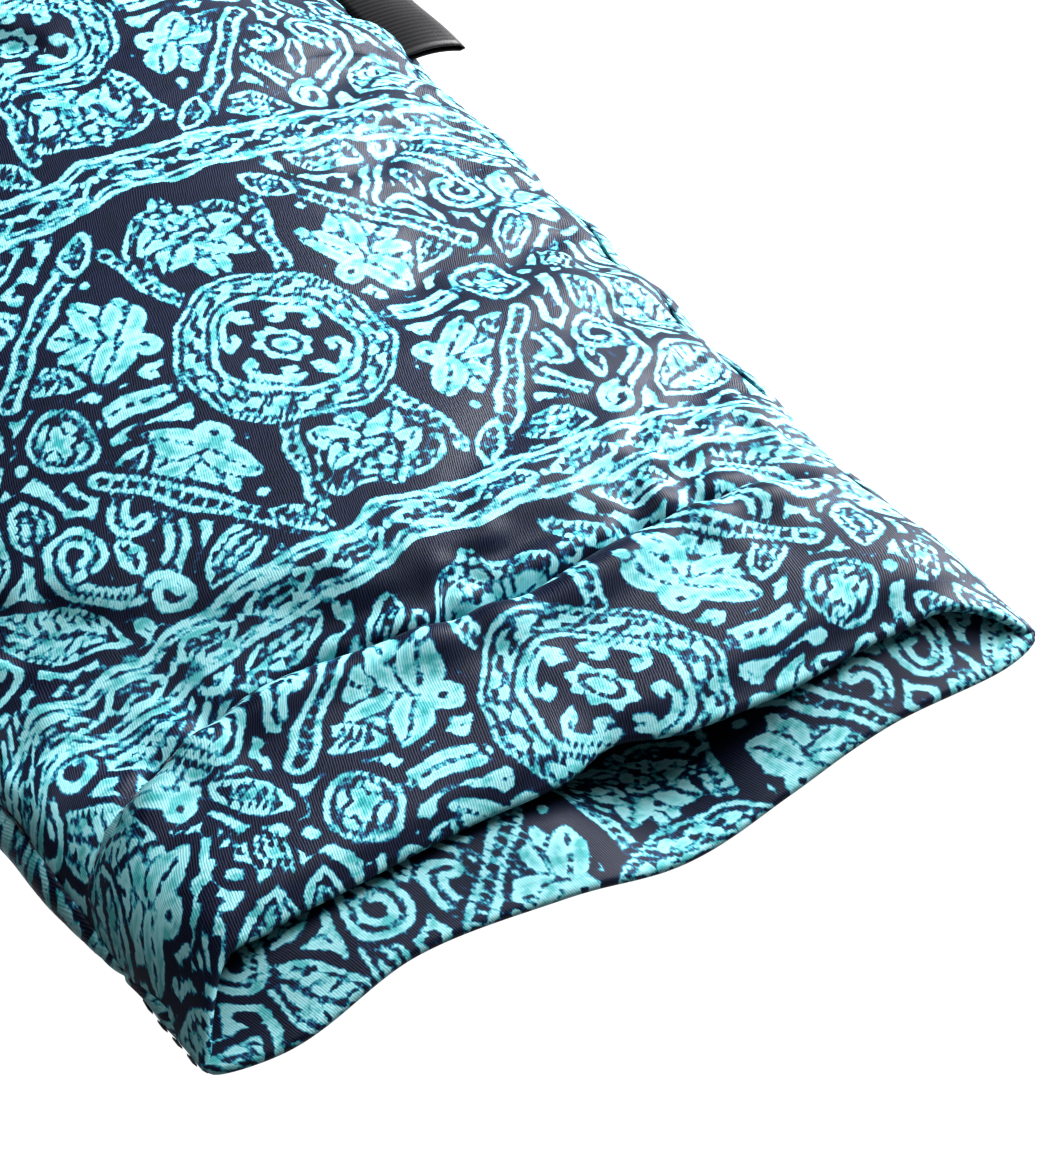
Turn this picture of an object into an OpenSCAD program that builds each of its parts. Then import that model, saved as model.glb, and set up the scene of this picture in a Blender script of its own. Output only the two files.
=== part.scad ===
// Eye pillow: an open-ended sateen cover with a turned hem, and a seed-filled inner pillow
// that slides in and out of the cover's mouth.
// +X points out of the mouth, +Y to the side with the label, +Z up from the table.

/* [Cover] */
// Length of the cover, from the closed end to the mouth
cover_length = 240; // [220:1:260]
// Width of the cover when it lies flat and empty
cover_width = 100; // [92:1:110]
// Height of the filled cover at its crown
crown_height = 20; // [17:0.5:24]
// Thickness of the printed sateen
cloth_thickness = 0.5; // [0.4:0.05:0.6]
// Depth of the turned hem around the mouth
hem_depth = 25; // [15:1:30]
// Height of the upper hem above the table at the middle of the mouth
mouth_height = 8; // [7:0.5:10]
// How far the upper hem stops short of the lower one
mouth_setback = 7; // [4:0.5:10]

/* [Label] */
// Length of the folded ribbon along the side seam
label_length = 22; // [16:1:30]
// How far the ribbon stands out of the seam
label_reach = 7.5; // [5:0.5:10]
// Thickness of the ribbon's two layers
label_thickness = 0.8; // [0.6:0.1:1.2]
// Distance from the mouth to the middle of the label
label_from_mouth = 123; // [100:1:150]

/* [Inner pillow] */
// Length of the inner pillow, from seam to seam
pouch_length = 196; // [180:1:200]
// Thickness of the plain lining cloth
lining_thickness = 0.4; // [0.3:0.05:0.5]
// Length of the gap in the end seam that is sewn shut after filling
filling_gap = 40; // [30:1:50]

/* [Stitching] */
// Thickness of the sewing thread
thread_thickness = 0.4; // [0.3:0.05:0.5]

/* [Hidden] */

// Places along the length of the cover.
half_length = cover_length / 2;
hem_line = half_length - hem_depth;
end_run = 45;                       // length over which the closed end rises to the crown
mouth_run = 120;                    // length over which the top slopes down to the mouth
seam_run = 45;                      // length over which the side seams come down to the table
hem_thickness = 1.8 * cloth_thickness;
seam_height = 8;                    // side seam above the table along the filled part
corner_height = 1.6;                // side seam above the table at the mouth's corners
mouth_half = cover_width / 2;
body_half = mouth_half - 1.5;       // the filling draws the width in
cover_corner = 10;                  // radius of the closed end's corners, in plan
flat_share = 0.7;                   // share of the half-width that lies flat on the table

// The inner pillow: clear of the cover on every side and above the lower hem's stitches.
pouch_gap = 0.6;
pouch_base = 1.8;
pouch_back = -half_length + 4;
pouch_front = pouch_back + pouch_length;
pouch_half = body_half - cloth_thickness - 2;
pouch_corner = 14;
pouch_end_run = 34;
fill_gap = 0.15;
fill_rim = 0.05;                    // half the thickness of the filling at its edge

thread_gap = 0.05;                  // a thread lies this far off the cloth it holds
label_gap = 0.25;

function smooth(t) = let (u = min(1, max(0, t))) u * u * (3 - 2 * u);
function round_up(t) = let (u = min(1, max(0, t))) sqrt(1 - (1 - u) * (1 - u));
// Distance that a rounded plan corner of radius r takes off the half-width.
function corner_cut(distance, r) =
    distance >= r ? 0 : r - sqrt(r * r - (r - distance) * (r - distance));

// Section of a filled panel across the width, from 0 at the seams to 1 at the middle.
function dome(s) = pow(max(0, 1 - pow(abs(s), 2.4)), 0.75);
// Rise of the lower panel, from 0 where it lies flat to 1 at the seams.
function rise(s) = pow(max(0, (abs(s) - flat_share) / (1 - flat_share)), 2);

// Cover: half-width, seam height and crown height at each place along the length.
function to_mouth(x) = smooth((x - half_length + seam_run) / seam_run);
function cover_half(x) = body_half + (mouth_half - body_half) * to_mouth(x)
    - corner_cut(x + half_length, cover_corner);
function cover_seam(x) = seam_height + (corner_height - seam_height) * to_mouth(x);
function cover_crown(x) = cover_seam(x) + (cover_top(x) - cover_seam(x))
    * round_up((x + half_length) / end_run);
function cover_top(x) = crown_height - (crown_height - mouth_height)
    * pow(max(0, 1 - (half_length - x) / mouth_run), 1.6);
function cloth_at(x) = x > hem_line ? hem_thickness : cloth_thickness;

// Inner pillow: the same, with both ends closed.
function pouch_ends(x, run) =
    round_up((x - pouch_back) / run) * round_up((pouch_front - x) / run);
function pouch_half_at(x) = pouch_half - corner_cut(x - pouch_back, pouch_corner)
    - corner_cut(pouch_front - x, pouch_corner);
function pouch_crown(x) = seam_height
    + (min(crown_height, cover_top(x)) - cloth_thickness - pouch_gap - seam_height)
    * pouch_ends(x, pouch_end_run);
function pouch_bottom(x) = seam_height - (seam_height - pouch_base)
    * pouch_ends(x, pouch_end_run);

// Stations along and across the panels: closer together at the rounded edges.
cover_stations = concat(
    [for (a = [0:15:90]) -half_length + end_run * (1 - cos(a))],
    [for (k = [1:8]) -half_length + end_run + (hem_line - 1 + half_length - end_run) * k / 8],
    [for (k = [0:4]) hem_line + 0.5 + (hem_depth - 0.5) * k / 4]);
pouch_stations = concat(
    [for (a = [0:15:90]) pouch_back + pouch_end_run * (1 - cos(a))],
    [for (k = [1:5]) pouch_back + pouch_end_run + (pouch_length - 2 * pouch_end_run) * k / 6],
    [for (a = [90:-15:0]) pouch_front - pouch_end_run * (1 - cos(a))]);
across = [for (a = [0:10:180]) -cos(a)];

// The upper hem's edge draws back from the lower one, except at the seams.
function drawn_back(x, s) =
    x - mouth_setback * smooth((x - hem_line) / hem_depth) * (1 - pow(abs(s), 6));
// The inner face starts one cloth thickness inside the closed end.
function inside_end(x) = x + cloth_thickness * (half_length - x) / cover_length;

// One sheet of cloth between two grids of points. Both faces share their rows and columns.
module cloth(outer, inner, outer_is_up = true) {
    rows = len(outer);
    cols = len(outer[0]);
    count = rows * cols;
    function at(i, j, layer) = layer * count + i * cols + j;
    function quad(a, b, c, d) = [[a, b, c], [a, c, d]];
    outer_faces = [for (i = [0:rows - 2], j = [0:cols - 2])
        each quad(at(i, j, 0), at(i, j + 1, 0), at(i + 1, j + 1, 0), at(i + 1, j, 0))];
    inner_faces = [for (i = [0:rows - 2], j = [0:cols - 2])
        each quad(at(i, j, 1), at(i + 1, j, 1), at(i + 1, j + 1, 1), at(i, j + 1, 1))];
    side_faces = [for (i = [0:rows - 2]) each concat(
        quad(at(i, 0, 0), at(i + 1, 0, 0), at(i + 1, 0, 1), at(i, 0, 1)),
        quad(at(i, cols - 1, 0), at(i, cols - 1, 1), at(i + 1, cols - 1, 1),
            at(i + 1, cols - 1, 0)))];
    end_faces = [for (j = [0:cols - 2]) each concat(
        quad(at(0, j, 0), at(0, j, 1), at(0, j + 1, 1), at(0, j + 1, 0)),
        quad(at(rows - 1, j, 0), at(rows - 1, j + 1, 0), at(rows - 1, j + 1, 1),
            at(rows - 1, j, 1)))];
    faces = concat(end_faces, side_faces, inner_faces, outer_faces);
    polyhedron([for (grid = [outer, inner]) each [for (row = grid) each row]],
        outer_is_up ? faces : [for (f = faces) [f[0], f[2], f[1]]]);
}

// A square thread along a path, lying against cloth on the inner side of each outward step.
module thread(path, outward, up) {
    d = thread_thickness;
    rings = [for (k = [0:len(path) - 1]) each [
        path[k] + thread_gap * outward[k] - d / 2 * up[k],
        path[k] + (thread_gap + d) * outward[k] - d / 2 * up[k],
        path[k] + (thread_gap + d) * outward[k] + d / 2 * up[k],
        path[k] + thread_gap * outward[k] + d / 2 * up[k]]];
    last = len(rings) - 4;
    polyhedron(rings, concat(
        [for (k = [0:4:last - 4], m = [0:3]) each [
            [k + m, k + 4 + m, k + 4 + (m + 1) % 4],
            [k + m, k + 4 + (m + 1) % 4, k + (m + 1) % 4]]],
        [[0, 1, 2], [0, 2, 3]],
        [[last, last + 2, last + 1], [last, last + 3, last + 2]]));
}

function constant(v, path) = [for (p = path) v];

module cover_front_panel() {
    color([0.16, 0.62, 0.62]) cloth(
        [for (x = cover_stations) [for (s = across)
            [drawn_back(x, s), cover_half(x) * s,
                cover_seam(x) + (cover_crown(x) - cover_seam(x)) * dome(s)]]],
        [for (x = cover_stations) [for (s = across)
            [inside_end(drawn_back(x, s)), (cover_half(x) - cloth_thickness) * s,
                cover_seam(x) + max(0, cover_crown(x) - cloth_at(x) * round_up((x
                    + half_length) / end_run) - cover_seam(x)) * dome(s)]]]);
}

module cover_back_panel() {
    color([0.10, 0.45, 0.50]) cloth(
        [for (x = cover_stations) [for (s = across)
            [x, cover_half(x) * s, lower_face(x, s, 0)]]],
        [for (x = cover_stations) [for (s = across)
            [inside_end(x), (cover_half(x) - cloth_thickness) * s,
                lower_face(x, s, cloth_at(x))]]],
        false);
}

// Lower panel: flat on the table, rising to the seams at both sides and at the closed end.
function lower_face(x, s, lift) = let (
    end_rise = pow(max(0, 1 - (x + half_length) / (end_run / 2)), 2),
    r = 1 - (1 - rise(s)) * (1 - end_rise))
    lift + (cover_seam(x) - lift) * r;

// Places along each side seam, from the rounded corner to the mouth.
seam_stations = [for (x = cover_stations) if (x > -half_length + cover_corner) x];

module left_seam_stitching() {
    path = [for (x = seam_stations) [x, -cover_half(x), cover_seam(x)]];
    color([0.05, 0.05, 0.12]) thread(path, constant([0, -1, 0], path),
        constant([0, 0, -1], path));
}

module right_seam_stitching() {
    path = [for (x = seam_stations) [x, cover_half(x), cover_seam(x)]];
    color([0.05, 0.05, 0.12]) thread(path, constant([0, 1, 0], path),
        constant([0, 0, 1], path));
}

module end_seam_stitching() {
    reach = body_half - cover_corner;
    path = [for (k = [0:6]) [-half_length, reach * (k / 3 - 1), seam_height]];
    color([0.05, 0.05, 0.12]) thread(path, constant([-1, 0, 0], path),
        constant([0, 0, -1], path));
}

module front_hem_stitching() {
    x = hem_line + 0.5;
    inner_across = [for (s = across) if (abs(s) < 0.99) s];
    path = [for (s = inner_across) [x, cover_half(x) * s,
        cover_seam(x) + (cover_crown(x) - cover_seam(x)) * dome(s)]];
    color([0.05, 0.05, 0.12]) thread(path, constant([0, 0, 1], path),
        constant([1, 0, 0], path));
}

module back_hem_stitching() {
    x = hem_line + 2;
    reach = 0.88 * flat_share * cover_half(x);
    path = [for (k = [0:6]) [x, reach * (k / 3 - 1), hem_thickness]];
    color([0.05, 0.05, 0.12]) thread(path, constant([0, 0, 1], path),
        constant([1, 0, 0], path));
}

module side_label() {
    foot = body_half + thread_gap + thread_thickness + label_gap;
    color([0.03, 0.03, 0.03])
    translate([half_length - label_from_mouth, foot, seam_height])
    rotate([90, 0, 90])
    linear_extrude(label_length, center = true)
    union() {
        translate([0, -label_thickness / 2])
            square([label_reach - label_thickness / 2, label_thickness]);
        translate([label_reach - label_thickness / 2, 0])
            circle(d = label_thickness, $fn = 24);
    }
}

// Points of the inner pillow at one station: its upper or lower face, drawn in by inset. The
// filling's two faces stay a rim apart at the edge.
function pouch_row(x, inset, upper, rim = 0) = [for (s = across)
    let (middle = (pouch_front + pouch_back) / 2, scale_x = 1 - 2 * inset / pouch_length)
    [middle + (x - middle) * scale_x, (pouch_half_at(x) - inset) * s,
        upper
            ? seam_height + rim + max(0, pouch_crown(x) - seam_height - inset
                * pouch_ends(x, pouch_end_run)) * dome(s)
            : seam_height - rim - (seam_height - pouch_bottom(x) - inset
                * pouch_ends(x, pouch_end_run)) * (1 - rise(s))]];

module inner_front_panel() {
    color([0.85, 0.82, 0.74]) cloth(
        [for (x = pouch_stations) pouch_row(x, 0, true)],
        [for (x = pouch_stations) pouch_row(x, lining_thickness, true)]);
}

module inner_back_panel() {
    color([0.80, 0.77, 0.69]) cloth(
        [for (x = pouch_stations) pouch_row(x, 0, false)],
        [for (x = pouch_stations) pouch_row(x, lining_thickness, false)], false);
}

// The seam line of the inner pillow in plan, from one end of the filling gap all the way
// round to the other, as [point, outward direction] pairs.
function pouch_corner_arc(cx, cy, from) = [for (a = [from:15:from + 90])
    [[cx + pouch_corner * cos(a), cy + pouch_corner * sin(a), seam_height],
        [cos(a), sin(a), 0]]];
pouch_line = concat(
    [[[pouch_front, filling_gap / 2, seam_height], [1, 0, 0]]],
    pouch_corner_arc(pouch_front - pouch_corner, pouch_half - pouch_corner, 0),
    pouch_corner_arc(pouch_back + pouch_corner, pouch_half - pouch_corner, 90),
    pouch_corner_arc(pouch_back + pouch_corner, -pouch_half + pouch_corner, 180),
    pouch_corner_arc(pouch_front - pouch_corner, -pouch_half + pouch_corner, 270),
    [[[pouch_front, -filling_gap / 2, seam_height], [1, 0, 0]]]);

module inner_seam_stitching() {
    path = [for (p = pouch_line) p[0]];
    color([0.70, 0.66, 0.58]) thread(path, [for (p = pouch_line) p[1]],
        constant([0, 0, 1], path));
}

module inner_closing_stitching() {
    reach = filling_gap / 2 - 1;
    path = [for (k = [0:4]) [pouch_front, reach * (k / 2 - 1), seam_height]];
    color([0.55, 0.50, 0.42]) thread(path, constant([1, 0, 0], path),
        constant([0, 0, 1], path));
}

module seed_fill() {
    inset = lining_thickness + fill_gap;
    color([0.45, 0.28, 0.14]) cloth(
        [for (x = pouch_stations) pouch_row(x, inset, true, fill_rim)],
        [for (x = pouch_stations) pouch_row(x, inset, false, fill_rim)]);
}

cover_front_panel();
cover_back_panel();
left_seam_stitching();
right_seam_stitching();
end_seam_stitching();
front_hem_stitching();
back_hem_stitching();
side_label();
inner_front_panel();
inner_back_panel();
inner_seam_stitching();
inner_closing_stitching();
seed_fill();
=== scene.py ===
# Eye pillow: a printed sateen cover with an open, hemmed mouth and a seed-filled pillow inside.
# The cover's mouth points along +X, and the table is at Z = 0.
from math import cos, pi, radians, sin, tau

import bmesh
import bpy
import numpy as np
from mathutils import Matrix, Vector


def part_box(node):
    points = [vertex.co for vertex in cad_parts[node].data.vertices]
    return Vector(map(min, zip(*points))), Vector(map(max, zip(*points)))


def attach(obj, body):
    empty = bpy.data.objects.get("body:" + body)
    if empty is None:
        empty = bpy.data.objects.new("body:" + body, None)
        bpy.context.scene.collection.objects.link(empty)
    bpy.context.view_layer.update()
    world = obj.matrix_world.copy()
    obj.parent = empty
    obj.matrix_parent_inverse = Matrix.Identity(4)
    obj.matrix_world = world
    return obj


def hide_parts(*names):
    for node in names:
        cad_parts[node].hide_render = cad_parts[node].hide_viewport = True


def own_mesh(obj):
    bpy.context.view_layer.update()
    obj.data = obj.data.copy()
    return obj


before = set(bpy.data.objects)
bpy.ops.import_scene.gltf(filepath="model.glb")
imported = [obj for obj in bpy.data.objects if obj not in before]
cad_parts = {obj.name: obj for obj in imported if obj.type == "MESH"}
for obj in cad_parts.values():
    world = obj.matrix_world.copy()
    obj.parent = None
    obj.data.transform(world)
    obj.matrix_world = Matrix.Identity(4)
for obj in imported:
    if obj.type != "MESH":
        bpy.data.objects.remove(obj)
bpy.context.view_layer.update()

# ---- Table, camera and lights ----
# The pillow lies on a sheet of lit white acrylic, which doesn't light the cloth from below. It
# is seen from in front of its open end, a little to one side and from half way up. Large soft
# lights stand behind it and over it.
mm = 0.001
mouth_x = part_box("cover_back_panel")[1].x
closed_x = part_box("cover_back_panel")[0].x

table_size = 3.0
table_gap = 0.1 * mm
table_mesh = bpy.data.meshes.new("table")
table_bm = bmesh.new()
bmesh.ops.create_grid(table_bm, x_segments=1, y_segments=1, size=table_size)
bmesh.ops.translate(table_bm, vec=(0, 0, -table_gap), verts=table_bm.verts)
table_bm.to_mesh(table_mesh)
table_bm.free()
table = bpy.data.objects.new("table", table_mesh)
bpy.context.collection.objects.link(table)
acrylic = bpy.data.materials.new("lit white acrylic")
acrylic.use_nodes = True
acrylic_shader = acrylic.node_tree.nodes["Principled BSDF"]
acrylic_shader.inputs["Base Color"].default_value = (0.2, 0.2, 0.2, 1)
acrylic_shader.inputs["Roughness"].default_value = 0.9
acrylic_shader.inputs["Emission Color"].default_value = (1, 1, 1, 1)
acrylic_shader.inputs["Emission Strength"].default_value = 0.85
table_mesh.materials.append(acrylic)
table.visible_diffuse = False

lens = bpy.data.cameras.new("camera")
lens.lens = 135.4
lens.sensor_width = 36
lens.clip_start = 0.01
camera = bpy.data.objects.new("camera", lens)
bpy.context.collection.objects.link(camera)
camera.location = (mouth_x + 237 * mm, -173 * mm, 331.8 * mm)
tilt = radians(45.04)
swing = radians(33.91)
looking = Vector((-cos(tilt) * cos(swing), cos(tilt) * sin(swing), -sin(tilt)))
camera.rotation_euler = looking.to_track_quat("-Z", "Y").to_euler()
bpy.context.scene.camera = camera


def softbox(name, place, size, watts, colour=(1, 1, 1)):
    light = bpy.data.lights.new(name, "AREA")
    light.shape = "SQUARE"
    light.size = size
    light.energy = watts
    light.color = colour
    lamp = bpy.data.objects.new(name, light)
    bpy.context.collection.objects.link(lamp)
    lamp.location = place
    lamp.rotation_euler = (-Vector(place)).to_track_quat("-Z", "Y").to_euler()


softbox("window", (-0.2, 1.0, 0.42), 0.6, 33.0)
softbox("overhead", (-0.05, 0.55, 1.0), 0.8, 11.0)
world = bpy.data.worlds.new("studio")
world.use_nodes = True
world.node_tree.nodes["Background"].inputs["Color"].default_value = (1, 1, 1, 1)
world.node_tree.nodes["Background"].inputs["Strength"].default_value = 0.12
bpy.context.scene.world = world
bpy.context.scene.view_settings.view_transform = "Standard"
bpy.context.scene.view_settings.look = "Medium High Contrast"

# ---- The print ----
# A woven sateen printed in turquoise on navy. One repeat is 60 mm long: a ringed medallion
# with spokes, leaf sprays, scrolls and a ribbon band, the same on both sides of its middle.
# The print is worked out as a depth in mm: above zero inside the turquoise, below it outside.
repeat = 60.0
repeat_start = -28.0
print_middle = 5.0
print_rise = 7.0


def off_path(x, y, path):
    best = np.full(x.shape, 99.0)
    for (ax, ay), (bx, by) in zip(path, path[1:]):
        dx, dy = bx - ax, by - ay
        t = np.clip(((x - ax) * dx + (y - ay) * dy) / (dx * dx + dy * dy), 0, 1)
        best = np.minimum(best, np.hypot(x - ax - t * dx, y - ay - t * dy))
    return best


def cord_line(off, half=1.15, core=0.25):
    return np.minimum(half - off, off - core)


def leaf(x, y, size):
    wide = 0.46 * size
    bow = (size * size + wide * wide) / (2 * wide)
    inside = bow - np.hypot(abs(x) + bow - wide, y)
    veins = np.maximum(abs((0.8 * abs(x) - y) % 1.7 - 0.85) - 0.26, 0.3 - abs((x * 1.2) % 1.7 - 0.85))
    etched = np.minimum(np.minimum(veins, abs(x) - 0.2), abs(inside - 0.85) - 0.2)
    return np.minimum(inside, np.where(inside > 0.62, etched, 9))


def palm(x, y, size):
    best = np.full(x.shape, -99.0)
    for turn, reach in ((0, 1.25), (42, 1.05), (-42, 1.05), (84, 0.85), (-84, 0.85)):
        c, s = cos(radians(turn)), sin(radians(turn))
        fx, fy = c * x - s * y, s * x + c * y
        long = reach * size * 0.5
        wide = 0.25 * size
        bow = (long * long + wide * wide) / (2 * wide)
        inside = bow - np.hypot(abs(fx) + bow - wide, fy - 0.9 * long)
        dashes = np.maximum(abs(fx) - 0.22, 0.25 - abs(fy % 1.5 - 0.75))
        finger = np.minimum(inside, np.where(inside > 0.45, dashes, 9))
        best = np.maximum(np.minimum(best, -inside - 0.3), finger)
    stem = cord_line(np.hypot(x, y + 0.25 * size), 0.22 * size, 0.45)
    return np.maximum(best, stem)


def blossom(x, y, size):
    reach, turn = np.hypot(x, y), np.arctan2(x, y)
    lobes = size * (0.85 + 0.15 * np.cos(5 * turn))
    inside = lobes - reach
    ring = abs(reach - 0.66 * lobes - 0.35 * np.sin(5 * turn)) - 0.24
    rays = np.where(reach > 0.66 * lobes, size * 0.35 * abs(np.sin(2.5 * turn)) - 0.2, 9)
    eye = abs(reach - 0.3 * size) - 0.22
    return np.minimum(np.minimum(inside, ring), np.minimum(rays, eye))


def curl_path(size, turns=1.35, steps=15):
    return [(size * (1 - 0.7 * k / steps) * cos(turns * tau * k / steps),
             size * (1 - 0.7 * k / steps) * sin(turns * tau * k / steps))
            for k in range(steps + 1)]


def curl(x, y, size):
    return 0.56 - off_path(x, y, curl_path(size))


def heart(x, y, size):
    side = abs(x)
    lobe = [(0.52 * size * (1 - 0.82 * cos(a) * (1 - 0.06 * k)), 0.55 * size * sin(a) * (1 - 0.06 * k))
            for k, a in enumerate(np.linspace(pi, -0.55 * pi, 12))]
    point = [(0.93 * size, 0.05 * size), (0.88 * size, -0.45 * size), (0.5 * size, -0.9 * size),
             (0.0, -1.3 * size)]
    bud = leaf(x, y + 0.5 * size, 0.42 * size)
    line = np.minimum(off_path(side, y, lobe), off_path(side, y, point))
    return np.maximum(cord_line(line, 1.2, 0.26), bud)


def knob(x, y, size):
    reach, turn = np.hypot(x, 0.85 * y), np.arctan2(x, y)
    inside = size - reach
    rim = abs(inside - 0.95) - 0.24
    work = abs(reach - 0.45 * size - 0.5 * np.cos(4 * turn + 0.6)) - 0.27
    return np.minimum(np.minimum(inside, rim), work)


def lozenge(x, y, size):
    inside = size - abs(x) * 1.6 - abs(y) * 0.9
    return np.minimum(inside, abs(inside - 1.2) - 0.35)


def dot(x, y, size):
    return size - np.hypot(x, y)


def medallion(x, y, size):
    reach, turn = np.hypot(x, y), np.arctan2(y, x)
    flower = np.minimum(2.8 + 0.35 * np.cos(8 * turn) - reach, abs(reach - 1.5) - 0.28)
    flower = np.maximum(flower, 0.6 - reach)
    side_x, side_y = abs(x), abs(y)
    curlicue = [(1.2, 4.0), (2.2, 4.1), (2.5, 5.0), (1.7, 5.6), (1.0, 5.2)]
    sweep = [(2.2, 6.0), (3.6, 5.4), (4.9, 4.2), (5.7, 2.8), (5.2, 1.5), (4.2, 1.5), (4.3, 2.5)]
    scrolls = 0.5 - np.minimum(off_path(side_x, side_y, curlicue),
                               off_path(side_x, side_y, sweep))
    ring = np.minimum(size - reach, reach - 7.2)
    edges = np.minimum(abs(reach - 8.3) - 0.24, abs(reach - 11.0) - 0.22)
    step = (turn * 8 / pi) % 1.0
    key = abs(reach - 9.65 - 0.42 * np.sign(step - 0.5)) - 0.25
    riser = np.maximum(abs(abs(step - 0.5) - 0.5) * 3.8 - 0.22, abs(reach - 9.7) - 0.55)
    return np.maximum.reduce((flower, scrolls, np.minimum.reduce((ring, edges, key, riser))))


def bar(x, y, size):
    inside = np.minimum(size - abs(x), 1.45 - abs(y))
    dashes = np.maximum(abs(y) - 0.26, abs(x % 1.6 - 0.8) - 0.5)
    return np.minimum(inside, dashes)


def ladder(x, y, size):
    past = np.maximum(abs(y) - size, 0)
    rails = 0.36 - abs(np.hypot(x, past) - 0.8)
    rungs = np.minimum(0.3 - abs(y % 1.3 - 0.65), np.minimum(0.8 - abs(x), size - abs(y)))
    return np.maximum(rails, rungs)


def rope(x, y, size):
    past = np.maximum(abs(y) - size, 0)
    off = np.hypot(x, past)
    rails = 0.42 - abs(off - 0.95)
    beads = np.where(abs(y) < size, 0.34 - np.hypot(x, y % 1.5 - 0.75), -9)
    return np.maximum(rails, beads)


# Each motif: its shape, its middle (across, along), its size, its turn in degrees, and the
# dark margin kept round it. The other half of the print mirrors these.
motifs = [
    (leaf, 41.2, -9.0, 7.4, 35, 0.6), (palm, 46.8, 3.0, 8.0, -20, 0.6),
    (leaf, 38.4, -20.6, 7.7, -55, 0.6), (heart, 50.2, -17.0, 6.6, 15, 0.6),
    (palm, 38.4, 12.0, 8.4, 25, 0.6), (leaf, 47.6, 14.6, 7.7, -35, 0.6),
    (leaf, 38.0, 24.2, 7.4, 75, 0.6), (leaf, 54.4, 9.0, 7.0, 60, 0.6),
    (leaf, 54.4, -5.6, 7.0, -55, 0.6), (curl, 52.4, 21.8, 3.4, 90, 0.6),
    (curl, 46.0, 22.8, 3.0, 10, 0.6), (curl, 45.8, -23.8, 2.8, 10, 0.6),
    (leaf, 34.2, -7.6, 4.6, 20, 0.6), (leaf, 33.6, 7.0, 4.6, -30, 0.6),
    (heart, 28.2, -13.4, 7.0, -8, 0.6), (heart, 29.0, 15.6, 7.3, 190, 0.6),
    (palm, 14.4, 9.0, 8.7, -52, 0.6), (palm, 14.6, -8.8, 8.2, -128, 0.6),
    (leaf, 23.6, 7.8, 4.2, -55, 0.6), (leaf, 22.8, -7.4, 3.9, 60, 0.6),
    (leaf, 18.6, -22.4, 5.1, 65, 0.6), (curl, 26.6, -23.0, 2.5, 60, 0.6),
    (dot, 19.8, -15.4, 0.7, 0, 0.3), (dot, 32.8, -15.8, 0.7, 0, 0.3),
    (leaf, 20.6, 25.8, 5.1, 75, 0.6), (curl, 28.6, 26.2, 2.5, 60, 0.6),
    (rope, 19.2, 16.6, 12.6, 46, 0.7), (rope, 18.4, -14.8, 10.6, -40, 0.7),
    (ladder, 7.6, 16.6, 5.4, -14, 0.7), (ladder, 7.3, -15.8, 4.8, 194, 0.7),
    (leaf, 4.3, 22.2, 3.9, 62, 0.6), (leaf, 4.0, 17.2, 3.0, 110, 0.6),
    (leaf, 4.2, -20.6, 3.7, -62, 0.6), (leaf, 3.9, -15.8, 2.9, -110, 0.6),
    (palm, 0.0, 20.4, 7.8, 180, 0.6), (blossom, 0.0, 22.6, 3.8, 0, 0.4),
    (palm, 0.0, -18.2, 7.3, 0, 0.6), (blossom, 0.0, -19.6, 3.7, 180, 0.4),
    (medallion, 0.0, 0.0, 11.9, 0, 0.6), (dot, 13.2, 0.0, 0.9, 0, 0.3),
    (leaf, 11.6, 23.4, 3.9, 40, 0.5), (leaf, 11.3, -21.9, 3.7, 140, 0.5),
    (dot, 11.2, 14.6, 0.8, 0, 0.3), (dot, 13.2, 18.6, 0.6, 0, 0.3), (dot, 12.6, -16.6, 0.7, 0, 0.3),
    (bar, 17.2, 0.0, 3.7, 0, 0.5), (dot, 22.0, 0.0, 0.8, 0, 0.3),
    (knob, 26.0, 0.0, 3.7, 0, 0.5), (dot, 31.2, 0.0, 0.8, 0, 0.3),
    (lozenge, 35.3, 0.0, 2.9, 0, 0.4), (dot, 39.6, 0.0, 0.8, 0, 0.3)]
ribbon_half = 3.7


def print_depth(across, along):
    x = across - print_middle
    y = along - print_rise
    x, y = x + 0.25 * np.sin(0.9 * y + 0.35 * x), y + 0.25 * np.sin(0.8 * x - 0.3 * y)
    y = (y - repeat_start) % repeat + repeat_start
    ink = np.full(x.shape, -9.0)
    away = np.full(x.shape, -9.0)
    for shape, mx, my, size, turn, margin in motifs:
        reach = 2.0 * size + 5
        c, s = cos(radians(turn)), sin(radians(turn))
        for side in (1, -1) if mx else (1,):
            dx, dy = side * x - mx, y - my
            near = (abs(dx) < reach) & (abs(dy) < reach)
            laid = shape(c * dx[near] + s * dy[near], c * dy[near] - s * dx[near], size)
            ink[near] = np.maximum(np.minimum(ink[near], -laid - margin), laid)
            away[near] = np.maximum(away[near], laid)
    # Broken lines and hatching fill the ground between the motifs, except beside the spokes.
    x = abs(x)
    dashes = np.sin(1.9 * x + 0.6 * np.sin(y)) + np.sin(1.7 * y + 0.6 * np.sin(x)) + 0.75
    echo = np.minimum(0.5 - abs(away + 1.5), 0.8 * dashes)
    hatching = np.minimum(-away - 2.7, abs((x + y) % 1.6 - 0.8) - 0.3)
    filler = np.maximum(echo, hatching)
    wedge = np.minimum(abs(y) - 12.0, 18.0 - x - 0.5 * abs(abs(y) - 16))
    bare = np.maximum(wedge, 10.0 - x)
    ink = np.maximum(ink, np.minimum(filler, -bare - 0.2))
    # The ribbon band runs across between two repeats, over everything else.
    for middle in (repeat_start, repeat_start + repeat):
        band = y - middle + 0.0022 * x * x
        rails = np.maximum(0.45 - abs(abs(band) - 2.95), 0.3 - abs(abs(band) - 1.95))
        place = (x + 4.5) % 9.0 - 4.5
        almond = leaf(band, place, 4.1)
        beads = 0.6 - np.hypot(abs(place) - 4.5, band)
        laid = np.maximum(np.maximum(rails, beads), almond)
        over = ribbon_half - abs(band)
        ink = np.where(over > 0, laid, np.minimum(ink, -over - 0.1))
    return ink


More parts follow.
